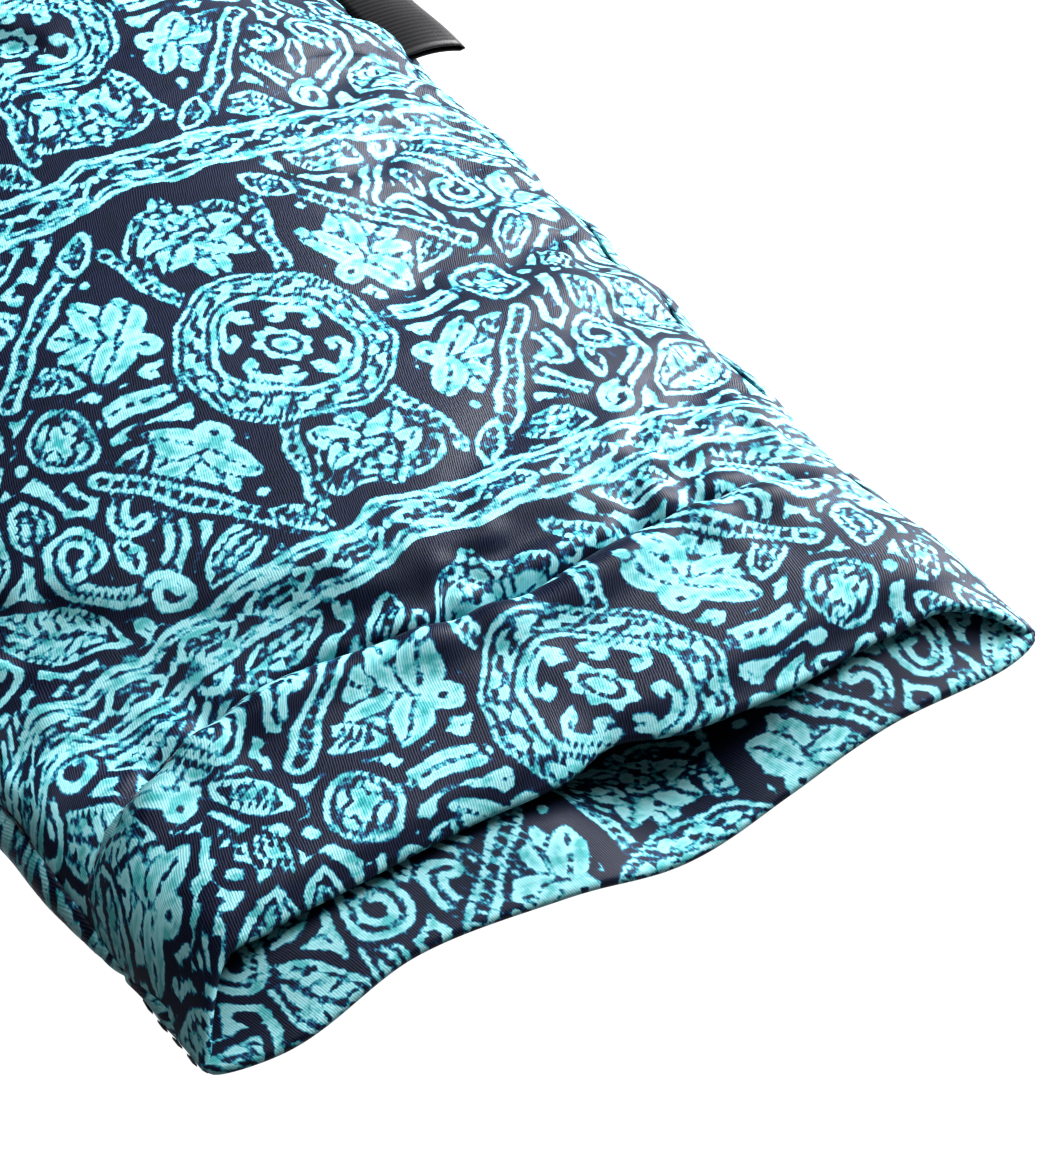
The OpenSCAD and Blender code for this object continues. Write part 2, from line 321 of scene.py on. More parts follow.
# ---- Shapes of the sewn cover ----
# Places on the cloth are measured as on the cutting table: across from -50 to 50 mm, and along
# from the folded mouth edge (0) to the closed end, with the turned hem below 0. The rest is
# in mm from the mouth: (out from the mouth's corner line, to the right, above the table).


def ease(t):
    t = np.clip(t, 0, 1)
    return t * t * (3 - 2 * t)


def smooth_line(points, at):
    place, value = np.array(points, float).T
    slope = np.gradient(value, place)
    at = np.clip(at, place[0], place[-1])
    k = np.clip(np.searchsorted(place, at) - 1, 0, len(place) - 2)
    gap = place[k + 1] - place[k]
    t = (at - place[k]) / gap
    return ((2 * t ** 3 - 3 * t ** 2 + 1) * value[k] + (t ** 3 - 2 * t ** 2 + t) * gap * slope[k]
            + (3 * t ** 2 - 2 * t ** 3) * value[k + 1] + (t ** 3 - t ** 2) * gap * slope[k + 1])


length = (mouth_x - closed_x) / mm
cloth_half = 50.0
hem_depth = 25.0
fold_radius = 0.55
cloth = 0.35
end_run = 45.0
corner = 10.0

# Upper mouth edge: across, back from the mouth, height.
upper_lip = [(-1.0, 0.2, 0.9), (-0.955, 3.0, 5.0), (-0.90, 5.6, 7.7), (-0.78, 6.4, 8.5),
             (-0.6, 6.7, 8.4), (-0.3, 7.0, 8.2), (-0.08, 6.6, 8.5), (0.04, 7.8, 7.9),
             (0.16, 6.0, 8.5), (0.4, 5.0, 8.4), (0.7, 5.3, 8.3), (0.86, 4.6, 8.0),
             (0.945, 2.4, 5.6), (1.0, 0.9, 2.2)]
# Lower mouth edge, the same way.
lower_lip = [(-1.0, 0.2, 0.9), (-0.8, -2.2, 0.9), (-0.5, -0.6, 2.8), (-0.2, -1.9, 1.8),
             (0.05, -3.4, 0.7), (0.3, -2.4, 1.2), (0.55, -1.2, 2.0), (0.85, -0.8, 1.9),
             (1.0, 0.9, 2.2)]
# How far the lower hem rises behind its edge: across, height.
lower_swell = [(-1.0, 0.0), (-0.8, 4.2), (-0.45, 4.8), (-0.12, 4.4), (0.02, 1.2), (0.16, 0.2),
               (0.3, 2.0), (0.42, 4.4), (0.6, 4.6), (0.82, 3.4), (1.0, 0.0)]
# The hem's stitch line on the upper panel: across, back from the mouth.
hem_groove = [(-1.0, 21.5), (-0.88, 25.0), (-0.76, 28.2), (-0.46, 31.0), (-0.1, 28.6),
              (0.16, 27.2), (0.5, 28.6), (0.9, 27.0), (1.0, 25.5)]
# Height of the upper panel along its middle: back from the mouth, height.
crown_line = [(0, 6.5), (6.6, 8.4), (9.0, 10.0), (13, 10.8), (20, 11.9), (26, 13.0), (36, 14.0),
              (50, 15.0), (64, 15.8), (90, 16.9), (121, 18.0), (150, 18.6), (200, 18.4),
              (240, 18.2)]


def middle_line(back):
    return 0.5 - 3.8 * ease(back / 40) + 3.3 * ease((back - 150) / 80)


def half_at(back):
    rounding = np.clip(back - (length - corner), 0, corner)
    cut = corner - np.sqrt(corner * corner - rounding * rounding)
    scallops = 0.55 * np.sin(back / 2.9 + 1.3 * np.sin(back / 11.0)) * ease((back - 22) / 12)
    return 50.4 - 1.9 * ease(back / 40) - cut + scallops * ease((length - back - 12) / 20)


def seam_height(back, side):
    at_mouth = 1.55 + 0.65 * np.sign(side)
    return at_mouth + (7.3 - at_mouth) * ease(back / 42)


def lip_at(lip, side):
    return [smooth_line([(point[0], point[k]) for point in lip], side) for k in (1, 2)]


def rounding_up(t):
    t = np.clip(t, 0, 1)
    return np.sqrt(1 - (1 - t) ** 2)


def ripples(side, back):
    u = cloth_half * side
    broad = 0.45 * np.sin(back / 9.0 + 0.06 * u) * np.sin(u / 13.0 + back / 31.0 + 0.6)
    near_left = np.exp(-(1 + side) * 6.0)
    near_right = np.exp(-(1 - side) * 6.0)
    seams = 0.55 * (near_left * np.sin(back / 2.1 + 1.5 * np.sin(back / 7.0))
                    + near_right * np.sin(back / 2.6 + 1.2 * np.sin(back / 9.0) + 1.0))
    groove = smooth_line(hem_groove, side)
    off = back - groove
    hem = 0.5 * np.exp(-abs(off) / 6.0) * np.sin(u / 1.9 + 1.7 * np.sin(u / 5.0) + 0.08 * off)
    return (broad * ease((back - 30) / 25) + (seams + hem) * ease(back / 12)) \
        * ease((length - back) / 25)


def upper_shape(side, run):
    lip, lip_height = lip_at(upper_lip, side)
    back = lip + run * (length - lip) / length
    y = middle_line(back) + half_at(back) * side
    seam = seam_height(back, side)
    boxy = (lip_height - seam_height(0, side)) / (8.4 - seam_height(0, side))
    domed = np.clip(1 - abs(side) ** 2.2, 0, 1) ** 0.8
    boxed = np.clip(1 - abs(side) ** 12, 0, 1) ** 0.8
    shape = boxed + (domed - boxed) * ease((back - 6) / 42)
    shape = shape + (boxy - shape) * np.exp(-(run / 4.0) ** 2)
    crown = smooth_line(crown_line, back)
    rise = (crown - seam) * rounding_up((length - back) / end_run)
    groove = smooth_line(hem_groove, side)
    inside = 1 - abs(side) ** 6
    pit = 1.7 + 1.2 * np.exp(-((side - 0.03) / 0.17) ** 2)
    tuck = -pit * np.exp(-((back - groove) / 1.1) ** 2)
    left = ease(-1.6 * side - 0.2)
    tuck = tuck + (1.5 + 0.9 * left) * np.exp(-((back - groove + 3.4) / 2.4) ** 2)
    tuck = tuck - (1.0 + 1.6 * left) * np.exp(-((back - groove - 3.5) / (4.5 + 3 * left)) ** 2)
    z = seam + rise * shape + inside * tuck + ripples(side, back)
    return back, y, z


def lower_shape(side, run):
    lip, lip_height = lip_at(lower_lip, side)
    back = lip + run * (length - lip) / length
    flat = 0.8
    flat_half = 0.86
    rolled_half = 0.14
    half = half_at(back)
    seam = seam_height(back, side)
    bulge = 1.8 * ease((back - 4) / 30) * ease((length - back) / 20)
    out = np.clip((abs(side) - flat) / (1 - flat), 0, 1)
    wide = rolled_half * half + bulge
    last = pi - np.arcsin(np.clip(rolled_half * half / wide, 0, 1))
    last = np.where(bulge < 0.05, pi / 2, last)
    turn = out * last
    y = np.where(abs(side) < flat, abs(side) / flat * flat_half * half,
                 flat_half * half + wide * np.sin(turn)) * np.sign(side) + middle_line(back)
    ground = cloth + 0.3
    z = ground + (seam - ground) * (1 - np.cos(turn)) / (1 - np.cos(last))
    z = z + (lip_height - ground) * np.exp(-((back - lip) / 9.0) ** 2) * (1 - abs(side) ** 6)
    z = z + smooth_line(lower_swell, side) * np.exp(-((back - lip - 9) / 7.0) ** 2)
    end = 1 - rounding_up((length - back) / (0.4 * end_run))
    z = z + (seam - z) * end
    return back, y, np.maximum(z, ground)


def cloth_panel(shape, outward, along, columns, longest=length, even_from=150, radius=fold_radius):
    """Lays a flat panel on a shape without stretching it: grids of points and outward normals."""
    fine_rows, fine_columns = 961, 401
    run = np.linspace(0, longest, fine_rows)[:, None]
    side = np.linspace(-1, 1, fine_columns)[None, :]
    back, y, z = shape(side + 0 * run, run + 0 * side)
    points = np.stack([length - back + closed_x / mm, y, z], axis=-1)
    across = np.linspace(0, 1, columns)
    steps = np.linalg.norm(np.diff(points, axis=1), axis=2)
    share = np.concatenate([np.zeros((len(run), 1)), np.cumsum(steps, axis=1)], axis=1)
    share /= share[:, -1:]
    points = np.stack([[np.interp(across, share[i], points[i, :, k]) for k in range(3)]
                       for i in range(len(run))]).transpose(0, 2, 1)
    normal = np.cross(np.gradient(points, axis=0), np.gradient(points, axis=1))
    normal /= np.linalg.norm(normal, axis=2, keepdims=True)
    normal *= np.sign(normal[fine_rows // 2, columns // 2, 2]) * outward
    steps = np.linalg.norm(np.diff(points, axis=0), axis=2)
    measured = np.concatenate([np.zeros((1, columns)), np.cumsum(steps, axis=0)])
    slack = radius * pi / 2
    laid = np.empty((len(along), columns, 3))
    facing = np.empty_like(laid)
    rolled = np.clip(along / radius, -pi / 2, pi / 2)
    for j in range(columns):
        full = measured[-1, j]
        reach = np.maximum(abs(along) - slack, 0)
        rest = even_from + (full - even_from) * (along - even_from) / (along[-1] - even_from)
        reach = np.where(along > even_from, rest, reach)
        base = np.stack([np.interp(reach, measured[:, j], points[:, j, k]) for k in range(3)], 1)
        up = np.stack([np.interp(reach, measured[:, j], normal[:, j, k]) for k in range(3)], 1)
        ahead = points[0, j] - points[4, j]
        ahead /= np.linalg.norm(ahead)
        facing[:, j] = np.sin(rolled)[:, None] * up + np.cos(rolled)[:, None] * ahead
        laid[:, j] = base + radius * facing[:, j]
    return laid, facing


def woven_panel(name, laid, facing, along, keep_rows, step, printed=True):
    """A closed mesh: the printed side, and a coarser wrong side one cloth thickness behind."""
    rows, columns = laid.shape[:2]
    kept = [i for i in range(rows) if i in (0, rows - 1) or keep_rows(along[i]) or i % step == 0]
    cols = sorted(set(range(0, columns, step)) | {columns - 1})
    bm = bmesh.new()
    bmesh.ops.create_grid(bm, x_segments=columns - 1, y_segments=rows - 1, size=1)
    bm.verts.ensure_lookup_table()
    for vert, place in zip(bm.verts, laid.reshape(-1, 3) * mm):
        vert.co = place
    behind = laid - cloth * facing
    wrong = [[bm.verts.new(behind[i, j] * mm) for j in cols] for i in kept]
    bm.verts.ensure_lookup_table()
    for row, above in zip(wrong, wrong[1:]):
        for j in range(len(cols) - 1):
            face = bm.faces.new((row[j], above[j], above[j + 1], row[j + 1]))
            face.material_index = 1

    def rim(fine, coarse, marks):
        for k in range(len(marks) - 1):
            stretch = [fine[m] for m in range(marks[k], marks[k + 1] + 1)]
            bm.faces.new(stretch + [coarse[k + 1], coarse[k]]).material_index = 1

    at = [[bm.verts[i * columns + j] for j in range(columns)] for i in range(rows)]
    rim(at[0], wrong[0], cols)
    rim(at[-1], wrong[-1], cols)
    rim([row[0] for row in at], [row[0] for row in wrong], kept)
    rim([row[-1] for row in at], [row[-1] for row in wrong], kept)
    bmesh.ops.recalc_face_normals(bm, faces=bm.faces)
    mesh = bpy.data.meshes.new(name)
    bm.to_mesh(mesh)
    bm.free()
    across = np.linspace(-cloth_half, cloth_half, columns)
    grid_u, grid_v = np.meshgrid(across, along)
    flat_u = np.concatenate([grid_u.ravel(), grid_u[np.ix_(kept, cols)].ravel()])
    flat_v = np.concatenate([grid_v.ravel(), grid_v[np.ix_(kept, cols)].ravel()])
    if printed:
        ink = mesh.attributes.new("ink", "FLOAT", "POINT")
        ink.data.foreach_set("value", print_depth(flat_u, flat_v).astype(np.float32))
    corner_verts = np.empty(len(mesh.loops), np.int32)
    mesh.loops.foreach_get("vertex_index", corner_verts)
    uv = mesh.uv_layers.new(name="cloth")
    uv.data.foreach_set("uv", np.stack([flat_u[corner_verts], flat_v[corner_verts]], 1)
                        .astype(np.float32).ravel() * 0.01)
    mesh.polygons.foreach_set("use_smooth", np.ones(len(mesh.polygons), bool))
    piece = bpy.data.objects.new(name, mesh)
    bpy.context.collection.objects.link(piece)
    return piece


def sateen(name, wrong_side):
    """Printed sateen: ink by the print's depth, ragged by the weave, on a fine twill whose lines carry
    painted sheen.
    """
    material = bpy.data.materials.new(name)
    material.use_nodes = True
    nodes, links = material.node_tree.nodes, material.node_tree.links
    shader = nodes["Principled BSDF"]
    shader.inputs["Roughness"].default_value = 0.45
    shader.inputs["Sheen Weight"].default_value = 0.02
    shader.inputs["Sheen Roughness"].default_value = 0.35
    shader.inputs["Specular IOR Level"].default_value = 0.11
    depth = nodes.new("ShaderNodeAttribute")
    depth.attribute_name = "ink"
    flat = nodes.new("ShaderNodeUVMap")
    flat.uv_map = "cloth"

    def spread(scale_x, scale_y):
        node = nodes.new("ShaderNodeMapping")
        node.inputs["Scale"].default_value = (scale_x, scale_y, 1)
        links.new(flat.outputs["UV"], node.inputs["Vector"])
        return node.outputs["Vector"]

    def grain(vector, scale, detail=2.0):
        node = nodes.new("ShaderNodeTexNoise")
        node.inputs["Scale"].default_value = scale
        node.inputs["Detail"].default_value = detail
        links.new(vector, node.inputs["Vector"])
        return node.outputs["Fac"]

    def reckon(a, b, kind="ADD"):
        node = nodes.new("ShaderNodeMath")
        node.operation = kind
        for socket, value in zip(node.inputs, (a, b)):
            if isinstance(value, (int, float)):
                socket.default_value = value
            else:
                links.new(value, socket)
        return node.outputs["Value"]

    ragged = grain(spread(1.6, 1), 210, 1)
    blots = grain(spread(1, 1.6), 75, 1)
    edge = reckon(reckon(reckon(ragged, 0.5, "SUBTRACT"), 0.36, "MULTIPLY"),
                  reckon(reckon(blots, 0.5, "SUBTRACT"), 0.5, "MULTIPLY"))
    ink = reckon(depth.outputs["Fac"], edge)
    tint = nodes.new("ShaderNodeValToRGB")
    tint.color_ramp.elements[0].position = 0.465
    tint.color_ramp.elements[0].color = (0.004, 0.006, 0.024, 1)
    tint.color_ramp.elements[1].position = 0.497
    tint.color_ramp.elements[1].color = (0.005, 0.055, 0.15, 1)
    for place, colour in ((0.522, (0.05, 0.42, 0.50, 1)), (0.555, (0.37, 0.70, 0.75, 1)),
                          (0.66, (0.28, 0.66, 0.70, 1)), (0.85, (0.05, 0.42, 0.45, 1))):
        tint.color_ramp.elements.new(place).color = colour
    links.new(reckon(reckon(ink, 0.33, "MULTIPLY"), 0.5), tint.inputs["Fac"])
    deeper = nodes.new("ShaderNodeMix")
    deeper.data_type = "RGBA"
    deeper.blend_type = "MULTIPLY"
    deeper.inputs["B"].default_value = (0.3, 0.68, 0.67, 1)
    links.new(tint.outputs["Color"], deeper.inputs["A"])
    patches = reckon(grain(spread(1, 1.4), 42, 3), 0.5, "SUBTRACT")
    soaked = nodes.new("ShaderNodeClamp")
    links.new(reckon(patches, 7.0, "MULTIPLY"), soaked.inputs["Value"])
    links.new(soaked.outputs["Result"], deeper.inputs["Factor"])
    cloudy = nodes.new("ShaderNodeHueSaturation")
    links.new(deeper.outputs["Result"], cloudy.inputs["Color"])
    links.new(reckon(reckon(grain(spread(1, 1), 16, 2), 0.4, "MULTIPLY"), 0.8),
              cloudy.inputs["Value"])
    twill = nodes.new("ShaderNodeTexWave")
    twill.bands_direction = "DIAGONAL"
    twill.inputs["Scale"].default_value = 160.0
    twill.inputs["Distortion"].default_value = 2.2
    twill.inputs["Detail"].default_value = 1.0
    links.new(spread(1.5, -0.45), twill.inputs["Vector"])
    # Along the twill lines the colour is mixed toward a mid blue: painted sheen, which lightens the
    # navy ground.
    twill_sheen = nodes.new("ShaderNodeMix")
    twill_sheen.data_type = "RGBA"
    twill_sheen.inputs["B"].default_value = (0.11, 0.16, 0.24, 1)
    links.new(cloudy.outputs["Color"], twill_sheen.inputs["A"])
    links.new(reckon(reckon(twill.outputs["Fac"], 0.45, "SUBTRACT"), 0.28, "MULTIPLY"),
              twill_sheen.inputs["Factor"])
    links.new(twill_sheen.outputs["Result"], shader.inputs["Base Color"])
    relief = nodes.new("ShaderNodeBump")
    relief.inputs["Strength"].default_value = 0.26
    relief.inputs["Distance"].default_value = 0.1 * mm
    links.new(twill.outputs["Fac"], relief.inputs["Height"])
    links.new(relief.outputs["Normal"], shader.inputs["Normal"])
    if wrong_side:
        dull = nodes.new("ShaderNodeMix")
        dull.data_type = "RGBA"
        dull.inputs["Factor"].default_value = 0.6
        dull.inputs["B"].default_value = (0.03, 0.09, 0.12, 1)
        links.new(cloudy.outputs["Color"], dull.inputs["A"])
        links.new(dull.outputs["Result"], shader.inputs["Base Color"])
        shader.inputs["Roughness"].default_value = 0.8
    return material


right_side = sateen("printed sateen", False)
wrong_side = sateen("sateen wrong side", True)

# ---- Upper panel of the cover ----
# Printed sateen over the filling, its mouth edge turned under 25 mm and stitched down. The
# stitch line sinks into the cloth, and the hem stands up in a soft ridge in front of it.
panel_columns = 196


def smooth_run(place, value, at):
    return smooth_line(list(zip(place, value)), at)


def settled(grid, along, spare, most, push=1.5, first=30.0, outward=1):
    """How far cloth with a share of spare length moves as it settles over its filling.

    It moves most mm at the farthest, and hardly inward, so that it stays clear of the filling.
    The seams are held all round, and so is everything before the first free row.
    """
    coarse_step = 5
    frames = 20
    inward = 0.25
    edge = 6
    rows = np.flatnonzero(along > first - edge)[::coarse_step]
    columns = np.arange(0, grid.shape[1], coarse_step)
    coarse = grid[np.ix_(rows, columns)]
    bm = bmesh.new()
    bmesh.ops.create_grid(bm, x_segments=len(columns) - 1, y_segments=len(rows) - 1, size=1)
    bm.verts.ensure_lookup_table()
    for vert, place in zip(bm.verts, coarse.reshape(-1, 3) * mm):
        vert.co = place
    mesh = bpy.data.meshes.new("settling")
    bm.to_mesh(mesh)
    bm.free()
    sheet = bpy.data.objects.new("settling", mesh)
    bpy.context.collection.objects.link(sheet)
    held = sheet.vertex_groups.new(name="sewn")
    inner = np.zeros(coarse.shape[:2], bool)
    inner[2:-1, 1:-1] = True
    held.add(np.flatnonzero(~inner).tolist(), 1.0, "REPLACE")
    cloth_step = sheet.modifiers.new("cloth", "CLOTH")
    cloth_step.settings.vertex_group_mass = "sewn"
    cloth_step.settings.shrink_min = -spare
    cloth_step.settings.shrink_max = -spare
    cloth_step.settings.use_pressure = True
    cloth_step.settings.uniform_pressure_force = push
    cloth_step.settings.quality = 6
    cloth_step.settings.effector_weights.gravity = 0
    cloth_step.collision_settings.use_collision = False
    scene = bpy.context.scene
    for step in range(1, frames + 1):
        scene.frame_set(step)
    moved = sheet.evaluated_get(bpy.context.evaluated_depsgraph_get()).to_mesh()
    places = np.empty(3 * len(moved.vertices), np.float32)
    moved.vertices.foreach_get("co", places)
    scene.frame_set(1)
    bpy.data.objects.remove(sheet)
    bpy.data.meshes.remove(mesh)
    shift = places.reshape(coarse.shape) / mm - coarse
    far = np.linalg.norm(shift, axis=2, keepdims=True)
    shift *= most * np.tanh(far / most) / np.maximum(far, 1e-6)
    shift[..., 2] = outward * np.maximum(outward * shift[..., 2], -inward)
    full = np.zeros_like(grid)
    place_rows = np.arange(grid.shape[0])
    place_columns = np.arange(grid.shape[1])
    for k in range(3):
        wide = np.stack([smooth_run(columns, shift[i, :, k], place_columns)
                         for i in range(len(rows))])
        full[..., k] = np.stack([smooth_run(rows, wide[:, j], place_rows)
                                 for j in place_columns], axis=1)
    full[along < first - edge] = 0
    return full


front_rows = np.concatenate([np.arange(-hem_depth, -4, 2), np.arange(-4, 110, 0.52),
                             np.linspace(110, 252, 212)])
laid, facing = cloth_panel(upper_shape, 1, front_rows, panel_columns, even_from=110)
laid = laid + settled(laid, front_rows, 0.03, 1.6)
front = woven_panel("upper_panel", laid, facing, front_rows,
                    lambda v: abs(v) < 3 or 22 < v < 30, 5)
front.data.materials.append(right_side)
front.data.materials.append(wrong_side)
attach(front, "cover")
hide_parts("cover_front_panel")
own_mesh(front)

# ---- Lower panel of the cover ----
# The same cloth, flat on the table and curving up to the seams at both sides.
back_rows = np.concatenate([np.arange(-hem_depth, -16, 2), np.arange(-16, 8, 0.55),
                            np.linspace(8, 250, 380)])
laid_low, facing_low = cloth_panel(lower_shape, -1, back_rows, panel_columns, even_from=8)
back = woven_panel("lower_panel", laid_low, facing_low, back_rows, lambda v: abs(v) < 3, 5)
back.data.materials.append(right_side)
back.data.materials.append(wrong_side)
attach(back, "cover")
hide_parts("cover_back_panel")
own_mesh(back)

# ---- Stitching of the cover ----
# Navy polyester thread. Short lockstitches hold both side seams, the closed end and the hems,
# each stitch sunk a little way into the cloth.


def thread_material(name, colour):
    material = bpy.data.materials.new(name)
    material.use_nodes = True
    nodes, links = material.node_tree.nodes, material.node_tree.links
    shader = nodes["Principled BSDF"]
    shader.inputs["Roughness"].default_value = 0.55
    shader.inputs["Sheen Weight"].default_value = 0.2
    place = nodes.new("ShaderNodeTexCoord")
    plies = nodes.new("ShaderNodeTexWave")
    plies.bands_direction = "DIAGONAL"
    plies.inputs["Scale"].default_value = 900
    links.new(place.outputs["Object"], plies.inputs["Vector"])
    tint = nodes.new("ShaderNodeMix")
    tint.data_type = "RGBA"
    tint.inputs["A"].default_value = (*[0.6 * c for c in colour], 1)
    tint.inputs["B"].default_value = (*colour, 1)
    links.new(plies.outputs["Fac"], tint.inputs["Factor"])
    links.new(tint.outputs["Result"], shader.inputs["Base Color"])
    relief = nodes.new("ShaderNodeBump")
    relief.inputs["Strength"].default_value = 0.4
    relief.inputs["Distance"].default_value = 0.05 * mm
    links.new(plies.outputs["Fac"], relief.inputs["Height"])
    links.new(relief.outputs["Normal"], shader.inputs["Normal"])
    return material


def stitches(name, path, material, pitch=2.6, thread=0.34):
    """A row of separate stitches along a path in mm, with a gap where each dips in."""
    path = np.array(path, float)
    steps = np.linalg.norm(np.diff(path, axis=0), axis=1)
    measured = np.concatenate([[0], np.cumsum(steps)])
    bm = bmesh.new()
    for k in range(int(measured[-1] / pitch)):
        ends = [np.array([np.interp((k + share) * pitch, measured, path[:, c]) for c in range(3)])
                for share in (0.1, 0.9)]
        run = Vector(ends[1] - ends[0])
        turn = run.to_track_quat("X", "Z").to_matrix().to_4x4()
        size = Matrix.Diagonal((run.length / 2 * mm, thread / 2 * mm, thread / 2 * mm, 1))
        middle = Matrix.Translation(Vector((ends[0] + ends[1]) / 2) * mm)
        bmesh.ops.create_icosphere(bm, subdivisions=1, radius=1, matrix=middle @ turn @ size)
    mesh = bpy.data.meshes.new(name)
    bm.to_mesh(mesh)
    bm.free()
    mesh.polygons.foreach_set("use_smooth", np.ones(len(mesh.polygons), bool))
    mesh.materials.append(material)
    piece = bpy.data.objects.new(name, mesh)
    bpy.context.collection.objects.link(piece)
    return piece


navy_thread = thread_material("navy thread", (0.02, 0.024, 0.06))
past_fold = int(np.argmax(front_rows > 1))


def cover_stitches(name, path, node):
    piece = stitches(name, path, navy_thread)
    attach(piece, "cover")
    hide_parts(node)
    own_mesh(piece)


def seam_path(column, outward):
    return laid[past_fold:-2, column] + np.array([0, 0.05 * outward, -0.25])


cover_stitches("left_side_stitches", seam_path(0, -1), "left_seam_stitching")
cover_stitches("right_side_stitches", seam_path(-1, 1), "right_seam_stitching")
cover_stitches("end_stitches", laid[-1, 12:-12] + np.array([-0.15, 0, -0.2]),
               "end_seam_stitching")
hem_row = int(np.argmin(abs(front_rows - hem_depth)))
low_hem_row = int(np.argmin(abs(back_rows + hem_depth)))
groove_path = []
for j in range(4, laid.shape[1] - 4):
    span = laid[hem_row - 12:hem_row + 16, j]
    groove_path.append(span[np.argmin(span[:, 2] + 0.02 * abs(np.arange(len(span)) - 12))])
cover_stitches("upper_hem_stitches", np.array(groove_path) + np.array([0, 0, 0.05]),
               "front_hem_stitching")
cover_stitches("lower_hem_stitches", laid_low[low_hem_row + 1, 20:-20] + np.array([0, 0, 0.1]),
               "back_hem_stitching")

# ---- Side label ----
# A black satin ribbon 22 mm wide, folded double with its cut ends caught in the right seam.
label_low, label_high = (Vector(c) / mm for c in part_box("side_label"))
label_root = 44.2
label_height = 7.8
label_fold = 0.4
label_slack = 3.2
ribbon = 0.22
label_bm = bmesh.new()
bmesh.ops.create_grid(label_bm, x_segments=22, y_segments=20, size=1)
label_bm.verts.ensure_lookup_table()
for vert in label_bm.verts:
    share = (vert.co.y + 1) / 2
    place = label_low.x + (label_high.x - label_low.x) * (vert.co.x + 1) / 2
    straight = label_high.y - label_slack - label_root - label_fold
    walk = share * (2 * straight + pi * label_fold)
    if walk < straight:
        out, up = walk, label_fold
    elif walk < straight + pi * label_fold:
        bend = (walk - straight) / label_fold
        out, up = straight + label_fold * sin(bend), label_fold * cos(bend)
    else:
        out, up = 2 * straight + pi * label_fold - walk, -label_fold
    curl_down = 0.035 * out * out - 0.12 * out
    lift = label_height + up - curl_down + 0.25 * sin(place * 0.35) * out / straight
    vert.co = Vector((place, label_root + out, lift)) * mm
bmesh.ops.solidify(label_bm, geom=label_bm.faces[:], thickness=ribbon * mm)
bmesh.ops.recalc_face_normals(label_bm, faces=label_bm.faces)
label_mesh = bpy.data.meshes.new("ribbon_label")
label_bm.to_mesh(label_mesh)
label_bm.free()
label_mesh.polygons.foreach_set("use_smooth", np.ones(len(label_mesh.polygons), bool))
label = bpy.data.objects.new("ribbon_label", label_mesh)
bpy.context.collection.objects.link(label)
satin = bpy.data.materials.new("black satin ribbon")
satin.use_nodes = True
satin_shader = satin.node_tree.nodes["Principled BSDF"]
satin_shader.inputs["Roughness"].default_value = 0.42
satin_shader.inputs["Specular IOR Level"].default_value = 0.16
satin_shader.inputs["Sheen Weight"].default_value = 0.02
satin_place = satin.node_tree.nodes.new("ShaderNodeTexCoord")
satin_ribs = satin.node_tree.nodes.new("ShaderNodeTexWave")
satin_ribs.bands_direction = "X"
satin_ribs.inputs["Scale"].default_value = 420
satin_ribs.inputs["Distortion"].default_value = 0.6
satin_tint = satin.node_tree.nodes.new("ShaderNodeValToRGB")
satin_tint.color_ramp.elements[0].color = (0.004, 0.004, 0.005, 1)
satin_tint.color_ramp.elements[1].color = (0.016, 0.016, 0.018, 1)
satin_bump = satin.node_tree.nodes.new("ShaderNodeBump")
satin_bump.inputs["Strength"].default_value = 0.16
satin_bump.inputs["Distance"].default_value = 0.05 * mm
satin_links = satin.node_tree.links
satin_links.new(satin_place.outputs["Object"], satin_ribs.inputs["Vector"])
satin_links.new(satin_ribs.outputs["Fac"], satin_tint.inputs["Fac"])
satin_links.new(satin_tint.outputs["Color"], satin_shader.inputs["Base Color"])
satin_links.new(satin_ribs.outputs["Fac"], satin_bump.inputs["Height"])
satin_links.new(satin_bump.outputs["Normal"], satin_shader.inputs["Normal"])
label_mesh.materials.append(satin)
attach(label, "cover")
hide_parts("side_label")
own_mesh(label)

# ---- Inner pillow ----
# Two panels of plain unbleached cotton, sewn all round, turned out through a gap in the end
# seam and stuffed loosely with seed. It follows the inside of the cover.
pouch_low, pouch_high = (Vector(c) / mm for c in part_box("inner_front_panel"))
pouch_length = pouch_high.x - pouch_low.x
pouch_start = length / 2 - pouch_high.x
pouch_half = 43.8
pouch_round = 14.0
pouch_seam = 7.6


def pouch_outline(side, run):
    from_end = np.minimum(run, pouch_length - run)
    rounding = np.clip(pouch_round - from_end, 0, pouch_round)
    cut = pouch_round - np.sqrt(pouch_round ** 2 - rounding ** 2)
    half = pouch_half - cut - 0.8 * np.sin(pi * side / 2) ** 4 * np.sin(run / 3.1) ** 2
    back = pouch_start + run
    y = middle_line(np.maximum(back, 60)) + half * side
    swell = rounding_up(np.minimum(run, pouch_length - run) / 34.0)
    return back, y, swell


def pouch_ripples(side, run):
    edge = np.exp(-(1 - abs(side)) * 7) * np.sin(run / 1.7 + 1.3 * np.sin(run / 6.0))
    ends = np.exp(-np.minimum(run, pouch_length - run) / 9.0) * np.sin(side * 24 + run / 9.0)
    return 0.4 * edge + 0.4 * ends


def pouch_top_shape(side, run):
    back, y, swell = pouch_outline(side, run)
    crown = smooth_line(crown_line, back) - 3.4
    dome = np.clip(1 - abs(side) ** 2.2, 0, 1) ** 0.8
    z = pouch_seam + (crown - pouch_seam) * swell * dome
    return back, y, z + pouch_ripples(side, run) * swell * dome ** 0.5


def pouch_under_shape(side, run):
    back, y, swell = pouch_outline(side, run)
    rise = np.clip((abs(side) - 0.7) / 0.3, 0, 1) ** 2
    z = pouch_seam - (pouch_seam - 1.9) * swell * (1 - rise)
    return back, y, z


